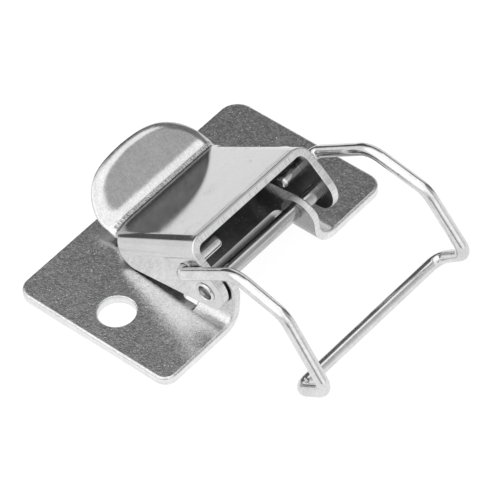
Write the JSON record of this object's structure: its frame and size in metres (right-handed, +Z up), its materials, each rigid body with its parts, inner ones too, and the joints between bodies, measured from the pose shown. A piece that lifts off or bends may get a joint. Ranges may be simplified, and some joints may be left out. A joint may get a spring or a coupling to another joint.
{
  "type": "over centre toggle latch",
  "caption": "Small stamped steel toggle latch: folded lever with thumb tab pivots between two ears on a flat base plate and carries a bent wire bail that hooks over a catch.",
  "frame": {"origin": "centre of the base plate's flat underside, midway between its two fixing holes", "axes": "+X is the pull direction, from the plate towards the bail's hook; +Y along the hinge pin and the plate's long side; +Z up, away from the surface that the plate is fixed to. Shown closed: the lever folded down, the bail lying forward with its hook end on the mounting surface."},
  "size_m": [0.0604, 0.055, 0.0192],
  "materials": {
    "sheet_steel": "bright stainless sheet with fine grain and small scratches",
    "pin_steel": "turned stainless pin, smooth",
    "wire_steel": "bright drawn stainless wire, glossy"
  },
  "bodies": {
    "base": {"base_plate": "sheet_steel"},
    "lever_arm": {"lever": "sheet_steel", "pivot_pin": "pin_steel"},
    "bail": {"wire_bail": "wire_steel"}
  },
  "joints": [
    {"name": "lever_pivot", "type": "hinge", "parent": "base", "child": "lever_arm", "pos_m": [0.01235, 0, 0.00712], "axis": [0, 1, 0], "range_deg": [0, 115]},
    {"name": "bail_swing", "type": "hinge", "parent": "lever_arm", "child": "bail", "pos_m": [0.00832, 0.00305, 0.0099], "axis": [0, 1, 0], "range_deg": [-170, 0]}
  ]
}
